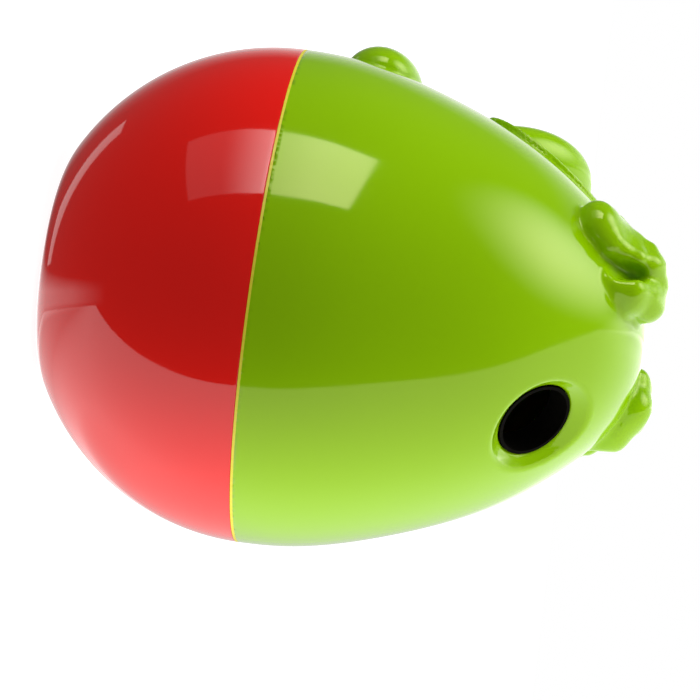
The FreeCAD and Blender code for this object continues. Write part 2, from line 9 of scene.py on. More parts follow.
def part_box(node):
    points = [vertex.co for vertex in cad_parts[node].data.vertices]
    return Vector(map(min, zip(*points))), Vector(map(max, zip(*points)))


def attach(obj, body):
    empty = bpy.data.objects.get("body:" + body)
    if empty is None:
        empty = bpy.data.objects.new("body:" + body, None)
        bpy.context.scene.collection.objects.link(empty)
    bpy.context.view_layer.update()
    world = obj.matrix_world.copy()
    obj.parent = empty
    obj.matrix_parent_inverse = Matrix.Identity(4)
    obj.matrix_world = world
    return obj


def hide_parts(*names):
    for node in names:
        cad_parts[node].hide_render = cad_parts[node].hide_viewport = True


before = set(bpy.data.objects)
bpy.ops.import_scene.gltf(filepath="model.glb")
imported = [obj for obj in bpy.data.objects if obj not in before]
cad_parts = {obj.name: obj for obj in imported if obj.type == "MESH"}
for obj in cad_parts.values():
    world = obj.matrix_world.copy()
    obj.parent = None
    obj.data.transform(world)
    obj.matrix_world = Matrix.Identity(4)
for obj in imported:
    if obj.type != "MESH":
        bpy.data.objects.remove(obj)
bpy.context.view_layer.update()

# Sizes are in millimetres and degrees until a mesh, lamp or camera is made.
MM = 0.001

ring_low, ring_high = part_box("seam_ring")
SEAM_RADIUS = ring_high.x / MM
BASE_HEIGHT = ring_low.z / MM
RING_THICKNESS = 0.6
RIM_HEIGHT = BASE_HEIGHT + RING_THICKNESS
UPPER_HEIGHT = 86.4
TOP_HEIGHT = RIM_HEIGHT + UPPER_HEIGHT
FOOT_RADIUS = 16.0
SIDE_ANGLE = 60.0
SHOULDER_ANGLE = 44.5
BASE_WALL = 3.0
UPPER_WALL = 3.0
BASE_LIP = 0.35
BOSS_COUNT = 4
BOSS_CIRCLE = 34.0
BOSS_RADIUS = 3.8
BOSS_HEIGHT = 17.0
PILOT_RADIUS = 1.5
PILOT_DEPTH = 8.0


def arc_radii(run, rise, angle):
    """Radii of the short and the long arc that turn a run into a rise, tangent to each other."""
    turn = math.radians(angle)
    gap = (rise - run) / (math.sin(turn) + math.cos(turn) - 1)
    return run - gap * (1 - math.cos(turn)), run + gap * math.cos(turn)


CORNER_RADIUS, SIDE_RADIUS = arc_radii(SEAM_RADIUS - FOOT_RADIUS, BASE_HEIGHT, SIDE_ANGLE)
NOSE_RADIUS, SHOULDER_RADIUS = arc_radii(SEAM_RADIUS, UPPER_HEIGHT, SHOULDER_ANGLE)
SHOULDER_CENTRE = SEAM_RADIUS - SHOULDER_RADIUS
NOSE_HEIGHT = TOP_HEIGHT - NOSE_RADIUS

# The closure: bore, thread, the groove that holds the seam ring, and the collar's seat.
BORE_RADIUS = 51.9
BORE_HEIGHT = 13.5
THREAD_LEAD = 5.0
THREAD_DEPTH = 1.5
THREAD_ROOT = 1.9
THREAD_CREST = 1.1
THREAD_HEIGHT = 5.5
BORE_TURNS = 0.75
GROOVE_INNER = 53.8
GROOVE_OUTER = 55.6
GROOVE_DEPTH = 1.8
SEAT_RADIUS = 56.0
SEAT_DEPTH = 3.4

# Where things sit on the upper shell: the slope of its surface there, and the azimuth.
FACE = -90.0
PORT = 90.0
PORT_SLOPE = 38.5
MUZZLE_SLOPE = 23.9
EYE_SLOPE = 43.5
EYE_AZIMUTH = 26.0
PAW_SLOPE = 8.7
PAW_AZIMUTH = 29.3
EAR_SLOPE = 52.8
EAR_AZIMUTH = 88.0

# The treat port: its bore, the dish round it and the boss inside.
PORT_RADIUS = 9.4
PORT_REACH = 12.0
DISH_RADIUS = 12.0
DISH_SPHERE = 18.0
PORT_BOSS_RADIUS = 13.0
PORT_BOSS_DEPTH = 6.5

# The face plate: a shield with round corners, and its step.
PLATE_MIDDLE = 111.8
PLATE_HALF_TALL = 17.2
PLATE_HALF_TURN = 50.5
PLATE_CORNER = 16.5
PLATE_HEIGHT = 1.3

# Half sizes of the figure's lumps.
SNOUT = (20.0, 26.2, 10.6)
SNOUT_LEAN = -65.0
NOSE = (7.0, 3.6, 4.6)
NOSE_FROM_SNOUT = (0.0, -13.7, 16.4)
EYE = (4.2, 4.2, 3.2)
EYE_LIFT = 2.0
PAW = (9.8, 15.1, 8.0)

# The folds of an ear: places towards the crown, away from the face and out of the shell,
# with the fold's half thickness there.
EAR_BODY = (12.4, 6.0, 5.4)
EAR_BODY_PLACE = (3.0, -2.4, -1.0)
EAR_REACH = 32.0
EAR_FOLDS = {
    "outer_rim": (
        ((-11.8, -2.8, 0.3), 3.6),
        ((-5.5, -6.0, 1.4), 2.4),
        ((-1.2, -5.0, 3.1), 2.3),
        ((1.8, -3.5, 5.1), 2.4),
        ((4.0, -1.0, 5.3), 2.6),
        ((8.4, 0.0, 3.5), 2.4),
        ((10.4, 2.2, 0.8), 3.7),
    ),
    "near_rim": (
        ((-11.8, -2.8, 0.3), 3.6),
        ((-11.0, -0.5, 0.6), 3.7),
        ((-7.4, 1.5, 1.6), 3.0),
        ((-3.8, 1.8, 2.8), 2.4),
        ((-0.9, 1.6, 4.4), 2.3),
        ((2.6, 0.4, 5.2), 2.4),
        ((4.6, -0.8, 5.0), 2.6),
    ),
    "lobe": (
        ((8.4, 0.0, 3.5), 2.4),
        ((9.2, 4.2, 0.8), 4.2),
        ((4.6, 7.2, -0.2), 3.9),
        ((0.8, 7.9, -0.8), 2.6),
        ((-2.4, 8.0, -1.4), 1.6),
    ),
    "lip": (((-2.0, 8.0, -0.8), 1.4), ((2.6, 8.0, 2.2), 2.5), ((6.5, 5.0, 2.8), 2.6)),
    "knob": (((11.0, -2.5, 1.4), 2.1), ((10.2, -1.0, 1.6), 2.3)),
    "middle": (((-9.0, -2.6, 0.4), 3.6), ((-2.0, -2.0, 2.2), 3.3)),
}
EAR_HOLLOW = (((-3.4, 7.0, 2.2), 2.3), ((1.2, 4.4, 3.2), 2.2))

# How softly each form runs into the next.
FOLD_FILLET = 1.4
EAR_FILLET = 2.8
HOLLOW_FILLET = 2.0
PLATE_EDGE = 0.6
FILLETS = {"plate": 0.5, "nose": 1.0, "muzzle": 2.0, "eye": 0.8, "paw": 1.5, "ear": 1.7}
DISH_EDGE = 0.9
PORT_EDGE = 0.8

# Meshing: cell size, cells along one block of the coarse search, and the length of a mean
# normal above which the cells it comes from count as flat.
FINE_CELL = 0.6
BLOCK = 4
FLATNESS = 0.9993
NORMAL_ANGLE = 50.0
TINY = 1e-9


def surface_point(slope, azimuth):
    """The point on the upper shell whose outward normal has this slope and azimuth."""
    rise, turn = math.radians(slope), math.radians(azimuth)
    if slope < SHOULDER_ANGLE:
        reach = SHOULDER_CENTRE + SHOULDER_RADIUS * math.cos(rise)
        height = RIM_HEIGHT + SHOULDER_RADIUS * math.sin(rise)
    else:
        reach = NOSE_RADIUS * math.cos(rise)
        height = NOSE_HEIGHT + NOSE_RADIUS * math.sin(rise)
    return np.array([reach * math.cos(turn), reach * math.sin(turn), height])


def surface_axes(slope, azimuth):
    """Rows: along the meridian towards the foot, round the axis, and out of the surface."""
    rise, around = math.radians(slope), math.radians(azimuth)
    out = np.array(
        [math.cos(rise) * math.cos(around), math.cos(rise) * math.sin(around), math.sin(rise)]
    )
    down = np.array(
        [math.sin(rise) * math.cos(around), math.sin(rise) * math.sin(around), -math.cos(rise)]
    )
    return np.array([down, np.cross(out, down), out])


PORT_POINT = surface_point(PORT_SLOPE, PORT)
PORT_OUT = surface_axes(PORT_SLOPE, PORT)[2]


def blend(first, second, softness):
    """Union of two fields with a fillet."""
    share = np.clip(0.5 + 0.5 * (second - first) / softness, 0, 1)
    return second + (first - second) * share - softness * share * (1 - share)


def carve(field, tool, softness):
    """Takes a tool's field out of a form and rounds the edge."""
    return -blend(-field, tool, softness)


def lump(points, centre, axes, halves):
    """Field of an ellipsoid, near enough a distance close to its surface."""
    local = (points - centre) @ axes.T / halves
    reach = np.linalg.norm(local, axis=1) + TINY
    slope = np.linalg.norm(local / halves, axis=1) + TINY
    return reach * (reach - 1) / slope


def egg(points):
    """Distance to the plain outside of the upper shell."""
    reach = np.hypot(points[:, 0], points[:, 1])
    height = points[:, 2]
    shoulder = np.hypot(reach - SHOULDER_CENTRE, height - RIM_HEIGHT) - SHOULDER_RADIUS
    nose = np.hypot(reach, height - NOSE_HEIGHT) - NOSE_RADIUS
    slope = np.degrees(np.arctan2(height - NOSE_HEIGHT, reach))
    return np.where(slope > SHOULDER_ANGLE, nose, shoulder)


def slim(points):
    """How far the shell lies inside the egg's two arcs, round its shoulder."""
    middle, length, depth = 88.0, 58.0, 0.82
    share = np.clip((points[:, 2] - middle) / length, -0.5, 0.5)
    return depth * np.cos(math.pi * share) ** 2


def face_plate(points):
    """The raised plate round the muzzle, which ends at a step on the shell's two sides."""
    around = np.arctan2(np.abs(points[:, 0]), -points[:, 1]) - math.radians(PLATE_HALF_TURN)
    sideways = around * np.hypot(points[:, 0], points[:, 1]) + PLATE_CORNER
    upright = np.abs(points[:, 2] - PLATE_MIDDLE) - PLATE_HALF_TALL + PLATE_CORNER
    side = np.hypot(np.maximum(sideways, 0), np.maximum(upright, 0))
    side += np.minimum(np.maximum(sideways, upright), 0) - PLATE_CORNER
    return carve(egg(points) - PLATE_HEIGHT, -side, PLATE_EDGE)


def muzzle(points):
    """The snout, which stands out most at its upper end, and a small nose on it."""
    lean = math.radians(SNOUT_LEAN)
    axes = np.array(
        [[1, 0, 0], [0, math.cos(lean), math.sin(lean)], [0, -math.sin(lean), math.cos(lean)]]
    )
    root = surface_point(MUZZLE_SLOPE, FACE)
    snout = lump(points, root, axes, np.array(SNOUT))
    nose = lump(points, root + np.array(NOSE_FROM_SNOUT), np.eye(3), np.array(NOSE))
    return blend(snout, nose, FILLETS["nose"])


def eye(points, side):
    """A small round eye, which stands proud of the plate's upper corner."""
    axes = surface_axes(EYE_SLOPE, FACE + side * EYE_AZIMUTH)
    place = surface_point(EYE_SLOPE, FACE + side * EYE_AZIMUTH) + EYE_LIFT * axes[2]
    return lump(points, place, axes, np.array(EYE))


def paw(points, side):
    """A paw, which lies across the shell just above the seam."""
    axes = surface_axes(PAW_SLOPE, FACE + side * PAW_AZIMUTH)
    place = surface_point(PAW_SLOPE, FACE + side * PAW_AZIMUTH)
    return lump(points, place, axes, np.array(PAW))


def fold(points, path):
    """A round strip of changing thickness through a path of places."""
    form = None
    for (start, thick), (end, thin) in zip(path[:-1], path[1:]):
        start, end = np.array(start), np.array(end)
        along = end - start
        share = np.clip((points - start) @ along / (along @ along), 0, 1)
        reach = np.linalg.norm(points - start - share[:, None] * along, axis=1)
        piece = reach - thick - (thin - thick) * share
        form = piece if form is None else blend(form, piece, FOLD_FILLET)
    return form


def ear(points, side):
    """One ear: a curled fold with a hollow that opens away from the face."""
    down, across, out = surface_axes(EAR_SLOPE, FACE + side * EAR_AZIMUTH)
    centre = surface_point(EAR_SLOPE, FACE + side * EAR_AZIMUTH)
    local = (points - centre) @ np.array([-down, side * across, out]).T
    form = lump(local, np.array(EAR_BODY_PLACE), np.eye(3), np.array(EAR_BODY))
    for path in EAR_FOLDS.values():
        form = blend(form, fold(local, path), EAR_FILLET)
    return carve(form, fold(local, EAR_HOLLOW), HOLLOW_FILLET)


def figure(points):
    """Outside of the upper shell with the figure's relief."""
    form = blend(egg(points) + slim(points), face_plate(points), FILLETS["plate"])
    form = blend(form, muzzle(points), FILLETS["muzzle"])
    for side in (1, -1):
        form = blend(form, eye(points, side), FILLETS["eye"])
        form = blend(form, paw(points, side), FILLETS["paw"])
        ear_place = surface_point(EAR_SLOPE, FACE + side * EAR_AZIMUTH)
        near = np.linalg.norm(points - ear_place, axis=1) < EAR_REACH
        form[near] = blend(form[near], ear(points[near], side), FILLETS["ear"])
    return form


def port_place(points):
    """Depth below the shell's outside and distance from the port's axis."""
    local = points - PORT_POINT
    depth = -local @ PORT_OUT
    away = np.linalg.norm(local + depth[:, None] * PORT_OUT, axis=1)
    return depth, away


def bore_rib(points):
    """The thread rib inside the rim, on a right-hand helix."""
    reach = np.hypot(points[:, 0], points[:, 1])
    turns = np.arctan2(points[:, 1], points[:, 0]) / (2 * math.pi) % 1.0
    level = points[:, 2] - BASE_HEIGHT - THREAD_HEIGHT - THREAD_LEAD * turns
    share = np.clip((BORE_RADIUS - reach) / THREAD_DEPTH, 0, 1)
    half = (THREAD_ROOT + (THREAD_CREST - THREAD_ROOT) * share) / 2
    sides = np.maximum(np.abs(level) - half, BORE_RADIUS - THREAD_DEPTH - reach)
    ends = np.abs(turns - BORE_TURNS / 2) - BORE_TURNS / 2
    return np.maximum(sides, ends * 2 * math.pi * BORE_RADIUS)


def upper_shell(points):
    """Field of the whole upper shell: outside, treat chamber, thread, rim groove and port."""
    reach = np.hypot(points[:, 0], points[:, 1])
    height = points[:, 2] - RIM_HEIGHT
    depth, away = port_place(points)
    lift = math.sqrt(DISH_SPHERE**2 - DISH_RADIUS**2) - NOSE_RADIUS
    lift += math.sqrt(NOSE_RADIUS**2 - DISH_RADIUS**2)
    dish = np.linalg.norm(points - PORT_POINT - lift * PORT_OUT, axis=1) - DISH_SPHERE
    outside = carve(figure(points), dish, DISH_EDGE)
    taper = (height - BORE_HEIGHT - (reach - BORE_RADIUS)) / math.sqrt(2)
    chamber = np.maximum(egg(points) + UPPER_WALL, np.minimum(reach - BORE_RADIUS, taper))
    boss = np.maximum(away - PORT_BOSS_RADIUS, depth - PORT_BOSS_DEPTH)
    chamber = np.maximum(chamber, -boss)
    chamber = np.maximum(chamber, -bore_rib(points))
    shell = np.maximum(outside, -chamber)
    across = np.abs(reach - (GROOVE_INNER + GROOVE_OUTER) / 2) - (GROOVE_OUTER - GROOVE_INNER) / 2
    groove = np.maximum(across, height - GROOVE_DEPTH)
    shell = np.maximum(shell, -groove)
    shell = np.maximum(shell, -height)
    bore = np.maximum(away - PORT_RADIUS, np.abs(depth) - PORT_REACH)
    return carve(shell, bore, PORT_EDGE)


def gradient(field, points, reach=0.02):
    """How fast a field rises along each axis."""
    rises = []
    for axis in range(3):
        step = np.zeros(3)
        step[axis] = reach
        rises.append(field(points + step) - field(points - step))
    return np.stack(rises, axis=1) / (2 * reach)


def unit(vectors):
    """The vectors at length 1."""
    return vectors / (np.linalg.norm(vectors, axis=1, keepdims=True) + 1e-12)


def grid_values(field, low, counts, cell):
    """Field values on a grid, read finely only in the blocks that the surface can cross."""
    ticks = [low[axis] + cell * np.arange(counts[axis]) for axis in range(3)]
    corners = np.stack(np.meshgrid(*(tick[::BLOCK] for tick in ticks), indexing="ij"), axis=-1)
    coarse = field(corners.reshape(-1, 3)).reshape(corners.shape[:3])
    ends = tuple(slice(0, size - 1) for size in coarse.shape)
    least = np.full([size - 1 for size in coarse.shape], np.inf)
    for shift in np.ndindex(2, 2, 2):
        part = coarse[tuple(slice(at, size - 1 + at) for at, size in zip(shift, coarse.shape))]
        least = np.minimum(least, np.abs(part))
    values = coarse[ends]
    for axis in range(3):
        values = np.repeat(values, BLOCK, axis=axis)
    values = np.pad(values, ((0, 1), (0, 1), (0, 1)), mode="edge")
    steps = np.stack(np.meshgrid(*[np.arange(BLOCK + 1)] * 3, indexing="ij"), axis=-1)
    near = np.argwhere(least < (BLOCK + 0.6) * cell)
    fine = near[:, None] * BLOCK + steps.reshape(-1, 3)
    nodes = np.unique(np.ravel_multi_index(fine.reshape(-1, 3).T, counts))
    places = np.stack(np.unravel_index(nodes, counts), axis=1)
    values.ravel()[nodes] = field(low + cell * places)
    return values


def merge_flat(field, vertices, leans, cells, faces):
    """Joins the vertices of each flat pair of cells, so that plain walls get larger faces."""
    _, group = np.unique(cells // 2, axis=0, return_inverse=True)
    group = group.ravel()
    share = np.bincount(group)
    mean = np.stack([np.bincount(group, weights=leans[:, axis]) for axis in range(3)], axis=1)
    flat = (np.linalg.norm(mean / share[:, None], axis=1) > FLATNESS) & (share > 1)
    label = np.where(flat[group], group, len(share) + np.arange(len(group)))
    _, place = np.unique(label, return_inverse=True)
    share = np.bincount(place)
    joined = np.stack(
        [np.bincount(place, weights=vertices[:, axis]) / share for axis in range(3)], axis=1
    )
    moved = share > 1
    away = field(joined[moved])[:, None]
    joined[moved] -= away * unit(gradient(field, joined[moved]))
    outlines = (list(dict.fromkeys(face)) for face in place[faces].tolist())
    return joined, [outline for outline in outlines if len(outline) > 2]


def contour(field, low, high, cell):
    """Mesh of a field's zero surface by dual contouring, which keeps its edges crisp."""
    middle_pull, last_step = 0.08, 0.2 * cell
    counts = BLOCK * np.ceil((high - low) / cell / BLOCK).astype(int) + 1
    values = grid_values(field, low, counts, cell)
    inside = values < 0

    hits, rings, flips = [], [], []
    for axis in range(3):
        step, side, lift = (np.eye(3, dtype=int)[(axis + turn) % 3] for turn in range(3))
        ends = counts - step
        here = inside[: ends[0], : ends[1], : ends[2]]
        there = inside[step[0]:, step[1]:, step[2]:]
        at = np.argwhere(here != there)
        first = values[tuple(at.T)]
        second = values[tuple((at + step).T)]
        hits.append(low + cell * (at + (first / (first - second))[:, None] * step))
        ring = np.stack([at, at - side, at - side - lift, at - lift], axis=1)
        rings.append(ring[..., 0] * counts[1] * counts[2] + ring[..., 1] * counts[2] + ring[..., 2])
        flips.append(first > 0)
    hits, rings, flips = (np.concatenate(part) for part in (hits, rings, flips))
    leans = unit(gradient(field, hits))
    hits = hits - field(hits)[:, None] * leans

    owners, quads = np.unique(rings, return_inverse=True)
    quads = quads.reshape(-1, 4)
    total = len(owners)
    flat = quads.ravel()
    points = np.repeat(hits, 4, axis=0)
    normals = np.repeat(leans, 4, axis=0)

    def gather(weights):
        return np.bincount(flat, weights=weights, minlength=total)

    share = gather(np.ones(len(flat)))
    middle = np.stack([gather(points[:, axis]) for axis in range(3)], axis=1) / share[:, None]
    pull = np.einsum("ij,ij->i", normals, points - middle[flat])
    left = np.empty((total, 3, 3))
    right = np.empty((total, 3))
    for row in range(3):
        right[:, row] = gather(normals[:, row] * pull)
        for column in range(3):
            left[:, row, column] = gather(normals[:, row] * normals[:, column])
    left += middle_pull * np.eye(3)
    shift = np.clip(np.linalg.solve(left, right[..., None])[..., 0], -cell, cell)
    vertices = middle + shift
    slope = gradient(field, vertices)
    step = field(vertices)[:, None] * slope / ((slope**2).sum(axis=1, keepdims=True) + TINY)
    vertices -= np.clip(step, -last_step, last_step)
    quads[flips] = quads[flips][:, ::-1]
    cells = np.stack(np.unravel_index(owners, counts), axis=1)
    return merge_flat(field, vertices, unit(slope), cells, quads)


def mesh_object(name, vertices, faces, sharp=30.0):
    """A smooth-shaded mesh in metres from millimetres, with edges sharper than an angle kept."""
    mesh = bpy.data.meshes.new(name)
    mesh.from_pydata((np.asarray(vertices) * MM).tolist(), [], faces)
    mesh.validate()
    mesh.shade_smooth()
    mesh.set_sharp_from_angle(angle=math.radians(sharp))
    thing = bpy.data.objects.new(name, mesh)
    bpy.context.scene.collection.objects.link(thing)
    return thing


def exact_normals(thing, field):
    """Shades a contoured mesh with its field's own normals, apart from corners at an edge."""
    mesh = thing.data
    places = np.empty(len(mesh.vertices) * 3)
    mesh.vertices.foreach_get("co", places)
    places = places.reshape(-1, 3) / MM
    owners = np.empty(len(mesh.loops), int)
    mesh.loops.foreach_get("vertex_index", owners)
    centres = np.empty(len(mesh.polygons) * 3)
    mesh.polygons.foreach_get("center", centres)
    centres = centres.reshape(-1, 3) / MM
    sizes = np.empty(len(mesh.polygons), int)
    mesh.polygons.foreach_get("loop_total", sizes)
    at_vertex = unit(gradient(field, places))[owners]
    at_face = np.repeat(unit(gradient(field, centres)), sizes, axis=0)
    same = np.einsum("ij,ij->i", at_vertex, at_face) > math.cos(math.radians(NORMAL_ANGLE))
    mesh.normals_split_custom_set(np.where(same[:, None], at_vertex, at_face).tolist())


def make_upper_shell():
    """The green shell as one mesh, with the thread inside its rim."""
    cell = FINE_CELL
    low = np.array([-63.1, -74.3, RIM_HEIGHT - 1.5 * cell])
    high = np.array([63.0, 62.0, TOP_HEIGHT + 6])
    vertices, faces = contour(upper_shell, low, high, cell)
    thing = mesh_object("green_shell", vertices, faces)
    exact_normals(thing, upper_shell)
    return thing


def paint(thing, finish):
    """Gives a thing its one material."""
    thing.data.materials.clear()
    thing.data.materials.append(finish)


def finish_piece(thing, body, node, finish):
    """Paints a piece and puts it in the place of its solid."""
    paint(thing, finish)
    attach(thing, body)
    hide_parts(node)


def arc(centre, radius, start, end, steps):
    """Outline points on an arc, from one angle to another, as (radius, height) pairs."""
    angles = np.radians(np.linspace(start, end, steps + 1))
    return [
        (centre[0] + radius * math.cos(angle), centre[1] + radius * math.sin(angle))
        for angle in angles
    ]


def lathe(name, outline, segments=320):
    """A closed outline turned round the axis. Its points on the axis become single ones."""
    least_step, on_axis = 0.01, 1e-6
    points = []
    for pair in outline:
        if not points or math.dist(pair, points[-1]) > least_step:
            points.append(pair)
    vertices, rows = [], []
    for reach, height in points:
        if reach < on_axis:
            rows.append([len(vertices)] * segments)
            vertices.append((0.0, 0.0, height))
            continue
        rows.append(list(range(len(vertices), len(vertices) + segments)))
        for number in range(segments):
            turn = 2 * math.pi * number / segments
            vertices.append((reach * math.cos(turn), reach * math.sin(turn), height))
    faces = []
    for number, row in enumerate(rows):
        following = rows[(number + 1) % len(rows)]
        if row[0] == row[1] and following[0] == following[1]:
            continue
        for place in range(segments):
            beside = (place + 1) % segments
            corners = [row[place], row[beside], following[beside], following[place]]
            faces.append(list(dict.fromkeys(corners)))
    return mesh_object(name, vertices, faces)


class Value:
    """A shader value that writes maths as nodes."""

    def __init__(self, graph, socket):
        self.graph = graph
        self.socket = socket

    def _with(self, operation, first, second):
        return self.graph.add("ShaderNodeMath", {"operation": operation}, {0: first, 1: second})

    def __add__(self, other):
        return self._with("ADD", self, other)

    def __sub__(self, other):
        return self._with("SUBTRACT", self, other)

    def __rsub__(self, other):
        return self._with("SUBTRACT", other, self)

    def __mul__(self, other):
        return self._with("MULTIPLY", self, other)

    __radd__ = __add__
    __rmul__ = __mul__


class Graph:
    """The nodes of a material, lamp or world."""

    def __init__(self, tree):
        self.tree = tree

    def add(self, kind, settings=None, sockets=None, output=0):
        """Adds a node: its settings first, then the values or links of its sockets."""
        node = self.tree.nodes.new(kind)
        for name, setting in (settings or {}).items():
            setattr(node, name, setting)
        for name, given in (sockets or {}).items():
            if isinstance(given, Value):
                self.tree.links.new(given.socket, node.inputs[name])
            else:
                node.inputs[name].default_value = given
        return Value(self, node.outputs[output]) if len(node.outputs) else None

    def ramp(self, source, low, high, start=0.0, end=1.0, smooth=False):
        """Takes the range from low to high to the range from start to end."""
        kind = {"interpolation_type": "SMOOTHSTEP" if smooth else "LINEAR"}
        levels = {"Value": source, 1: low, 2: high, 3: start, 4: end}
        return self.add("ShaderNodeMapRange", kind, levels)

    def dot(self, first, second):
        """Dot product of a direction and a fixed one."""
        kind = {"operation": "DOT_PRODUCT"}
        return self.add("ShaderNodeVectorMath", kind, {0: first, 1: second}, output=1)

    def mix(self, share, first, second):
        """Mixes two colours."""
        first, second = (
            given if isinstance(given, Value) else (*given, 1.0) for given in (first, second)
        )
        return self.add("ShaderNodeMix", {"data_type": "RGBA"}, {0: share, 6: first, 7: second}, 2)


class Surface(Graph):
    """One procedural material under construction."""

    def __init__(self, name):
        self.material = bpy.data.materials.new(name)
        self.material.use_nodes = True
        super().__init__(self.material.node_tree)
        self.shader = next(node for node in self.tree.nodes if node.type == "BSDF_PRINCIPLED")
        self.place = self.add("ShaderNodeTexCoord", output=3)

    def noise(self, scale, detail=2.0, roughness=0.5):
        """Fractal noise with a scale in cycles per metre."""
        levels = {"Scale": scale, "Detail": detail, "Roughness": roughness}
        return self.add("ShaderNodeTexNoise", sockets={"Vector": self.place, **levels})

    def spread(self, source, low, high):
        """Takes the middle of a noise to the range from low to high."""
        return self.ramp(source, 0.3, 0.7, low, high)

    def mottle(self, source, colour, shade):
        """Colours the surface with a noise between two colours."""
        self.set(Base_Color=self.mix(self.spread(source, 0.0, 1.0), colour, shade))

    def set(self, **sockets):
        """Sets or links sockets of the shader, whose names have _ for each space."""
        for name, given in sockets.items():
            socket = self.shader.inputs[name.replace("_", " ")]
            if isinstance(given, Value):
                self.tree.links.new(given.socket, socket)
            else:
                socket.default_value = (*given, 1.0) if isinstance(given, tuple) else given

    def bump(self, height, depth):
        """Relief of a given depth in millimetres."""
        sockets = {"Height": height, "Strength": 1.0, "Distance": depth * MM}
        self.set(Normal=self.add("ShaderNodeBump", sockets=sockets))


def moulded_gloss(name, colour, shade, roughness, sheen):
    """Polished moulded plastic: faint mottling, fine handling marks and a slight waviness."""
    surface = Surface(name)
    surface.mottle(surface.noise(18.0, 3.0), colour, shade)
    smear = surface.noise(60.0, 5.0, 0.6)
    surface.set(Roughness=surface.spread(smear, roughness * 0.7, roughness * 1.4))
    surface.set(IOR=1.5, Specular_Tint=sheen)
    surface.bump(surface.noise(90.0, 1.0), 0.02)
    return surface.material


def moulded_matte(name, colour, shade, ior=1.5):
    """Soft rubber or unpolished plastic with a fine grain."""
    surface = Surface(name)
    grain = surface.noise(900.0, 4.0)
    surface.mottle(grain, colour, shade)
    surface.set(Roughness=surface.spread(grain, 0.42, 0.6), IOR=ior)
    surface.bump(grain, 0.03)
    return surface.material


def cast_iron():
    """The rough skin of a sand casting."""
    surface = Surface("cast_iron")
    grain = surface.noise(700.0, 8.0, 0.7)
    surface.mottle(grain, (0.03, 0.03, 0.032), (0.09, 0.088, 0.085))
    surface.set(Metallic=0.8, Roughness=surface.spread(grain, 0.5, 0.8))
    surface.bump(grain, 0.25)
    return surface.material


def plated_steel():
    """Plated screws, with fine streaks."""
    surface = Surface("plated_steel")
    streak = surface.noise(1500.0, 3.0)
    surface.mottle(streak, (0.55, 0.55, 0.53), (0.7, 0.7, 0.68))
    surface.set(Metallic=1.0, Roughness=surface.spread(streak, 0.22, 0.36))
    return surface.material


GREEN = moulded_gloss(
    "green_gloss", (0.25, 0.495, 0.0), (0.24, 0.48, 0.0), 0.07, sheen=(1.0, 0.92, 0.5)
)
RED = moulded_gloss(
    "red_gloss", (0.78, 0.007, 0.003), (0.75, 0.007, 0.003), 0.05, sheen=(1.0, 1.0, 1.0)
)
# The seam ring's yellow is partly the gasket's own colour and partly a painted highlight: it stands
# for the bright line where the green rim's rounded edge catches the light.
SEAM_YELLOW_AND_HIGHLIGHT = moulded_matte("yellow_rubber", (0.75, 0.66, 0.03), (0.7, 0.6, 0.02))
BLACK = moulded_matte("black_rubber", (0.003, 0.003, 0.002), (0.006, 0.005, 0.004), 1.06)
IRON = cast_iron()
STEEL = plated_steel()


def join(thing, other):
    """Adds another mesh to a thing and drops the other one."""
    mesh = bmesh.new()
    mesh.from_mesh(thing.data)
    mesh.from_mesh(other.data)
    mesh.to_mesh(thing.data)
    mesh.free()
    bpy.data.objects.remove(other)


def make_boss(number):
    """A screw boss with its pilot hole, which starts in the middle of the bowl's wall."""
    foot = 1.0
    outline = [
        (0.0, foot),
        (BOSS_RADIUS, foot),
        (BOSS_RADIUS, BOSS_HEIGHT),
        (PILOT_RADIUS, BOSS_HEIGHT),
        (PILOT_RADIUS, BOSS_HEIGHT - PILOT_DEPTH),
        (0.0, BOSS_HEIGHT - PILOT_DEPTH),
    ]
    boss = lathe("screw_boss", outline, 48)
    turn = 2 * math.pi * number / BOSS_COUNT
    spot = Vector((BOSS_CIRCLE * math.cos(turn), BOSS_CIRCLE * math.sin(turn), 0.0))
    boss.data.transform(Matrix.Translation(spot * MM))
    middle = CORNER_RADIUS - BASE_WALL / 2
    for vertex in boss.data.vertices:
        if vertex.co.z < 2 * foot * MM:
            beyond = vertex.co.xy.length / MM - FOOT_RADIUS
            vertex.co.z = (CORNER_RADIUS - math.sqrt(middle**2 - beyond**2)) * MM
    return boss


def make_base_shell():
    """The red bowl: foot, corner and side arcs outside, the same arcs less the wall inside."""
    corner = (FOOT_RADIUS, CORNER_RADIUS)
    side = (SEAM_RADIUS - SIDE_RADIUS, BASE_HEIGHT)
    outline = [(0.0, 0.0)]
    outline += [(FOOT_RADIUS * share / 6, 0.0) for share in range(1, 6)]
    outline += arc(corner, CORNER_RADIUS, -90, -SIDE_ANGLE, 40)
    lip_angle = math.degrees(BASE_LIP / SIDE_RADIUS)
    outline += arc(side, SIDE_RADIUS, -SIDE_ANGLE, -lip_angle, 60)
    outline += arc((SEAM_RADIUS - BASE_LIP, BASE_HEIGHT - BASE_LIP), BASE_LIP, 0, 90, 6)
    outline += [
        (SEAT_RADIUS, BASE_HEIGHT),
        (SEAT_RADIUS, BASE_HEIGHT - SEAT_DEPTH),
        (SEAM_RADIUS - BASE_WALL, BASE_HEIGHT - SEAT_DEPTH),
    ]
    drop = math.degrees(math.asin(SEAT_DEPTH / (SIDE_RADIUS - BASE_WALL)))
    outline += arc(side, SIDE_RADIUS - BASE_WALL, -drop, -SIDE_ANGLE, 40)
    outline += arc(corner, CORNER_RADIUS - BASE_WALL, -SIDE_ANGLE, -90, 24)
    outline += [(0.0, BASE_WALL)]
    bowl = lathe("red_base", outline)
    for number in range(BOSS_COUNT):
        join(bowl, make_boss(number))
    return bowl


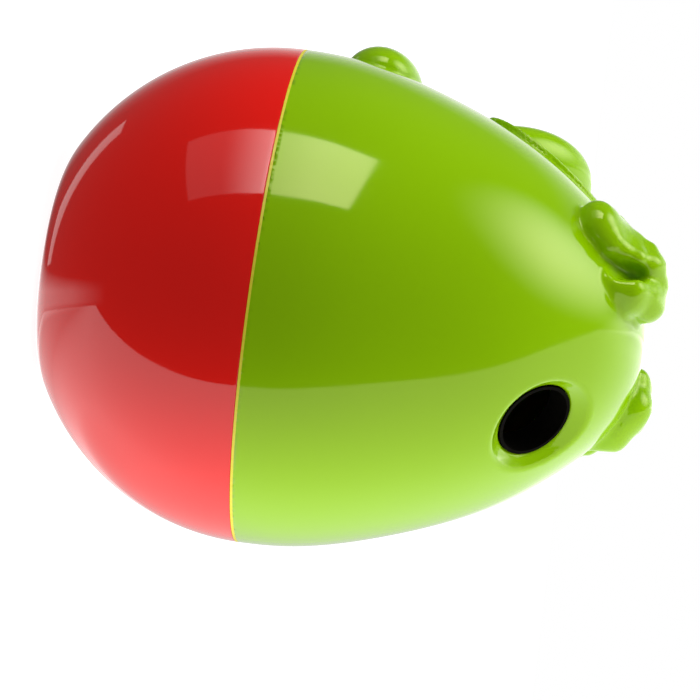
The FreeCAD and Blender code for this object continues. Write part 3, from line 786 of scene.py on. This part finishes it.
# The camera: fitted to the outline in the photograph, which shows the toy on its side.
VIEW_TURN = 51.0
VIEW_RISE = 4.354
VIEW_ROLL = 8.10
VIEW_DISTANCE = 1150.0
VIEW_AIM = 71.9
AIM_RIGHT = -1.71
AIM_UP = -9.73
FOCAL_PIXELS = 4973.0
IMAGE_PIXELS = 700
SENSOR = 36.0


def view_axes():
    """Right, up and backward of the camera in the toy's frame."""
    turn, rise, roll = (math.radians(angle) for angle in (VIEW_TURN, VIEW_RISE, VIEW_ROLL))
    ahead = Vector((math.cos(turn), math.sin(turn), 0.0))
    above = Vector((math.sin(turn), -math.cos(turn), 0.0))
    axis = Vector((0.0, 0.0, 1.0))
    side = axis * math.cos(rise) - ahead * math.sin(rise)
    back = axis * math.sin(rise) + ahead * math.cos(rise)
    right = side * math.cos(roll) + above * math.sin(roll)
    up = above * math.cos(roll) - side * math.sin(roll)
    return right, up, back


RIGHT, IMAGE_UP, BACK = view_axes()
AIM = Vector((0.0, 0.0, VIEW_AIM))


def place_facing(thing, spot, towards, top):
    """Puts an object at a spot in millimetres with its -Z towards a point and +Y near top."""
    back = (Vector(spot) - Vector(towards)).normalized()
    across = Vector(top).cross(back).normalized()
    rise = back.cross(across)
    turn = Matrix((across, rise, back)).transposed().to_4x4()
    thing.matrix_world = Matrix.Translation(Vector(spot) * MM) @ turn


def make_camera():
    """The camera at the photograph's place."""
    data = bpy.data.cameras.new("photo_camera")
    data.sensor_width = SENSOR
    data.lens = SENSOR * FOCAL_PIXELS / IMAGE_PIXELS
    data.clip_start = 0.05
    data.clip_end = 20.0
    camera = bpy.data.objects.new("photo_camera", data)
    bpy.context.scene.collection.objects.link(camera)
    spot = AIM + RIGHT * AIM_RIGHT + IMAGE_UP * AIM_UP + BACK * VIEW_DISTANCE
    place_facing(camera, spot, spot - BACK, IMAGE_UP)
    bpy.context.scene.camera = camera


def photo_direction(right, up, back):
    """A direction given in the photograph's right, up and towards the viewer."""
    return (RIGHT * right + IMAGE_UP * up + BACK * back).normalized()


def add_panel(name, spot, towards, top, size):
    """A rectangular lamp that shines towards a point; unseen by the camera.

    Returns the nodes of its strength, and its place across and down the panel from 0 to 1.
    A strength of 1 shows as white.
    """
    data = bpy.data.lights.new(name, "AREA")
    data.shape = "RECTANGLE"
    data.size, data.size_y = size[0] * MM, size[1] * MM
    data.energy = math.pi * data.size * data.size_y
    lamp = bpy.data.objects.new(name, data)
    lamp.visible_camera = False
    bpy.context.scene.collection.objects.link(lamp)
    place_facing(lamp, spot, towards, top)
    data.use_nodes = True
    graph = Graph(data.node_tree)
    place = graph.add("ShaderNodeNewGeometry", output=5)
    across = graph.add("ShaderNodeSeparateXYZ", sockets={0: place})
    down = graph.add("ShaderNodeSeparateXYZ", sockets={0: place}, output=1)
    return graph, across, down


def set_strength(graph, level):
    """Links a value to a lamp's strength."""
    emission = next(node for node in graph.tree.nodes if node.type == "EMISSION")
    graph.tree.links.new(level.socket, emission.inputs["Strength"])


def light_from(direction, distance):
    """A spot in a direction of the photograph from the toy's middle."""
    return AIM + photo_direction(*direction) * distance


def make_softbox():
    """The big rectangular lamp above, brighter at its right end."""
    spot = light_from((-0.10, 0.885, 0.455), 900.0)
    top = IMAGE_UP * 0.44 - BACK * 0.9 + RIGHT * 0.16
    graph, across, down = add_panel("softbox", spot, AIM, top, (985, 540))
    set_strength(graph, graph.ramp(across, 0.24, 0.78, 0.5, 6.6, smooth=True))


def make_side_lamp():
    """The round lamp on the right, with a soft edge."""
    spot = light_from((0.885, 0.45, 0.1), 840.0)
    graph, across, down = add_panel("side_lamp", spot, AIM, IMAGE_UP, (900, 900))
    away = (across - 0.5) * (across - 0.5) + (down - 0.5) * (down - 0.5)
    fade = graph.ramp(away, 0.5**2, 0.0)
    set_strength(graph, fade * fade * 5.7)


def make_table_card():
    """The white table under the toy as it lies in the photograph, darker where they touch."""
    wide, deep = 3000.0, 1500.0
    front, aside, below = 108.0, 200.0, 59.0
    half_long, half_broad = 105.0, 58.0
    spot = AIM - IMAGE_UP * below + RIGHT * aside + BACK * (front - deep / 2)
    top = BACK - RIGHT * 0.055
    graph, across, down = add_panel("table_card", spot, spot + IMAGE_UP, top, (wide, deep))

    def from_left(place):
        """The share of the width at a place in millimetres to the right of the toy's middle."""
        return 0.5 + (place - aside) / wide

    def from_back(place):
        """The share of the depth at a place in millimetres behind the front edge."""
        return 1.0 - place / deep

    along = (across - from_left(5.0)) * (wide / half_long)
    ahead = (down - from_back(front + 15.0)) * (deep / half_broad)
    contact = graph.ramp(along * along + ahead * ahead, 0.0, 1.0, 0.75, 1.62, smooth=True)
    dim = graph.ramp(across, from_left(0.0), from_left(350.0), 0.5, 1.15)
    far = graph.ramp(down, from_back(front + 150.0), from_back(front - 20.0), dim)
    set_strength(graph, contact * far)


def make_strip_lamp():
    """The narrow lamp behind on the left."""
    spot = light_from((-0.685, 0.365, -0.63), 755.0)
    top = RIGHT * 0.22 + IMAGE_UP * 0.53 + BACK * 0.08
    add_panel("strip_lamp", spot, AIM, top, (95, 410))


def make_world():
    """A dark room with a lit wall and the table's end behind. The camera sees white all round."""
    room_level, wall_level = 0.12, 1.2
    world = bpy.data.worlds.new("studio")
    world.use_nodes = True
    bpy.context.scene.world = world
    graph = Graph(world.node_tree)
    graph.tree.nodes.clear()
    direction = graph.add("ShaderNodeTexCoord")
    across, up, behind = (
        graph.dot(direction, tuple(axis)) for axis in (RIGHT, IMAGE_UP, BACK * -1.0)
    )
    wall = graph.ramp(up, 0.6, 0.25) * graph.ramp(across, -0.4, 0.25)
    wall = wall * graph.ramp(behind, 0.0, 0.4)
    horizon = graph.ramp(up, 0.09, 0.03) * graph.ramp(behind, -0.1, 0.3)
    above = graph.ramp(up, -0.06, -0.02)
    seen = graph.add("ShaderNodeLightPath")
    seen = seen + graph.add("ShaderNodeLightPath", output="Is Transmission Ray")
    lit = room_level + above * (wall * wall_level + horizon)
    level = lit * (1 - seen) + seen
    light = graph.add("ShaderNodeBackground", sockets={0: (1, 1, 1, 1), 1: level})
    graph.add("ShaderNodeOutputWorld", sockets={"Surface": light})


def make_floor():
    """The pale floor that the toy stands on. Only the camera sees it, so it lights nothing."""
    half, level = 3.0, -0.1 * MM
    mesh = bpy.data.meshes.new("floor")
    signs = ((-1, -1), (1, -1), (1, 1), (-1, 1))
    mesh.from_pydata([(half * x, half * y, level) for x, y in signs], [], [(0, 1, 2, 3)])
    floor = bpy.data.objects.new("floor", mesh)
    bpy.context.scene.collection.objects.link(floor)
    surface = Surface("pale_floor")
    surface.set(
        Base_Color=(0.5, 0.5, 0.5),
        Roughness=1.0,
        Specular_IOR_Level=0.0,
        Emission_Color=(1.0, 1.0, 1.0),
        Emission_Strength=0.92,
    )
    mesh.materials.append(surface.material)
    floor.visible_diffuse = False
    floor.visible_glossy = False
    floor.visible_transmission = False
    floor.visible_shadow = False


make_floor()
make_camera()
make_softbox()
make_side_lamp()
make_table_card()
make_strip_lamp()
make_world()
bpy.context.scene.view_settings.view_transform = "Standard"

finish_piece(make_upper_shell(), "upper", "upper_shell", GREEN)
finish_piece(make_base_shell(), "base", "base_shell", RED)
for node, finish in (
    ("threaded_collar", RED),
    # Painted highlight in part: the seam ring's yellow also stands for the light caught on the
    # green rim's edge at the seam.
    ("seam_ring", SEAM_YELLOW_AND_HIGHLIGHT),
    ("port_liner", BLACK),
    ("ballast_cover", BLACK),
    ("ballast_weight", IRON),
    ("ballast_screws", STEEL),
):
    paint(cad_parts[node], finish)
